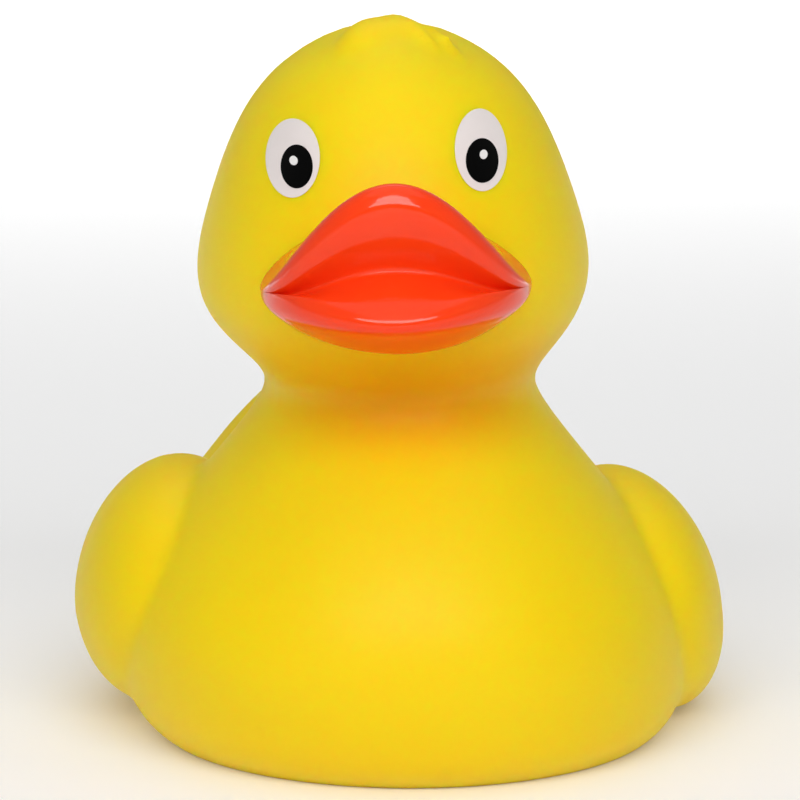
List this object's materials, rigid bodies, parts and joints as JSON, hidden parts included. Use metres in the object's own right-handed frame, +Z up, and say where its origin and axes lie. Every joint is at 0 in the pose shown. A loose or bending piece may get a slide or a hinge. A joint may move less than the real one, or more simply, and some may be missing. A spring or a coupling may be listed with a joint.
{
  "type": "rubber duck",
  "caption": "Squeaky bath duck: one hollow moulded vinyl body with head, open bill, wings and tail, and a squeaker plug in its flat base.",
  "frame": {"origin": "middle of the overall width and length, on the flat base that the duck stands on", "axes": "+Z up, -Y towards the bill, +X towards the duck's left wing"},
  "size_m": [0.0732, 0.0876, 0.0796],
  "materials": {
    "duck_vinyl": "satin",
    "squeaker_plastic": "matte",
    "reed_plastic": "gloss"
  },
  "bodies": {
    "root": {"duck_body": "duck_vinyl", "squeaker_case": "squeaker_plastic", "squeaker_reed": "reed_plastic"}
  },
  "joints": []
}
